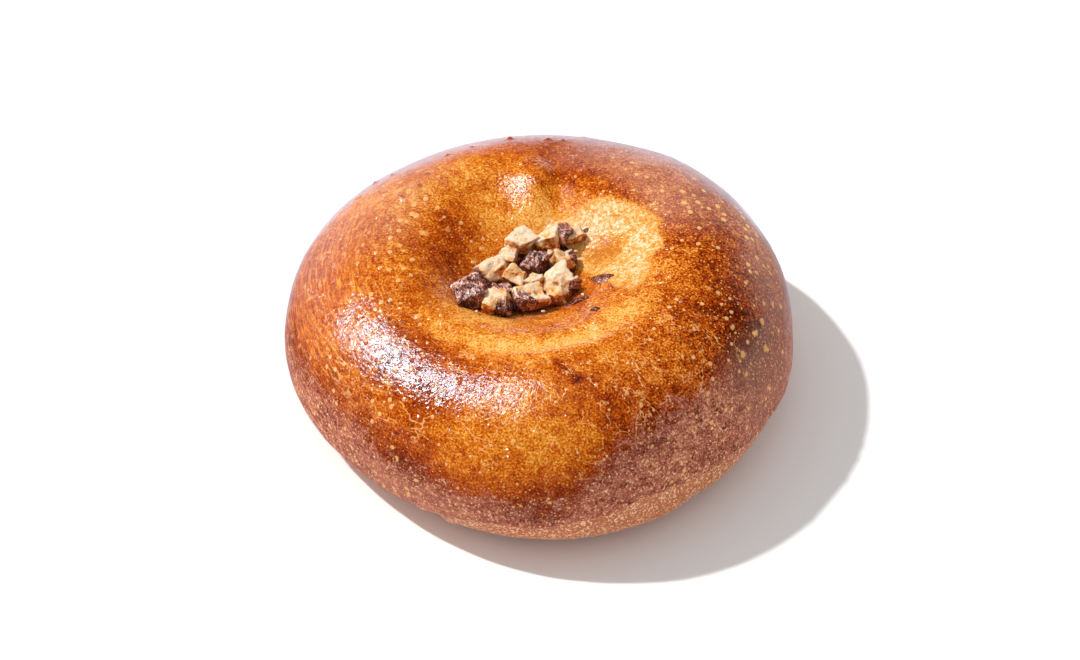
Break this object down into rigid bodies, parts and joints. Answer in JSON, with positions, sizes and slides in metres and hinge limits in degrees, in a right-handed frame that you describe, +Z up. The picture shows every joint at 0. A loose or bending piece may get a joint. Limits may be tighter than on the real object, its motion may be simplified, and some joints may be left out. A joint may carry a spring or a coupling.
{
  "type": "red bean bun",
  "caption": "Round baked sweet bun with a glossy egg-washed crust, pressed down in the middle, where a small heap of chopped walnut lies.",
  "frame": {"origin": "middle of the bun's box, at its flat base", "axes": "+Z upwards; -Y towards the front that the picture shows, with the walnut heap's higher end at the right and back; +X to the right"},
  "size_m": [0.1054, 0.1039, 0.0379],
  "materials": {
    "crust": "gloss",
    "walnut": "satin"
  },
  "bodies": {
    "root": {"bun": "crust", "walnut_heap": "walnut"}
  },
  "joints": []
}
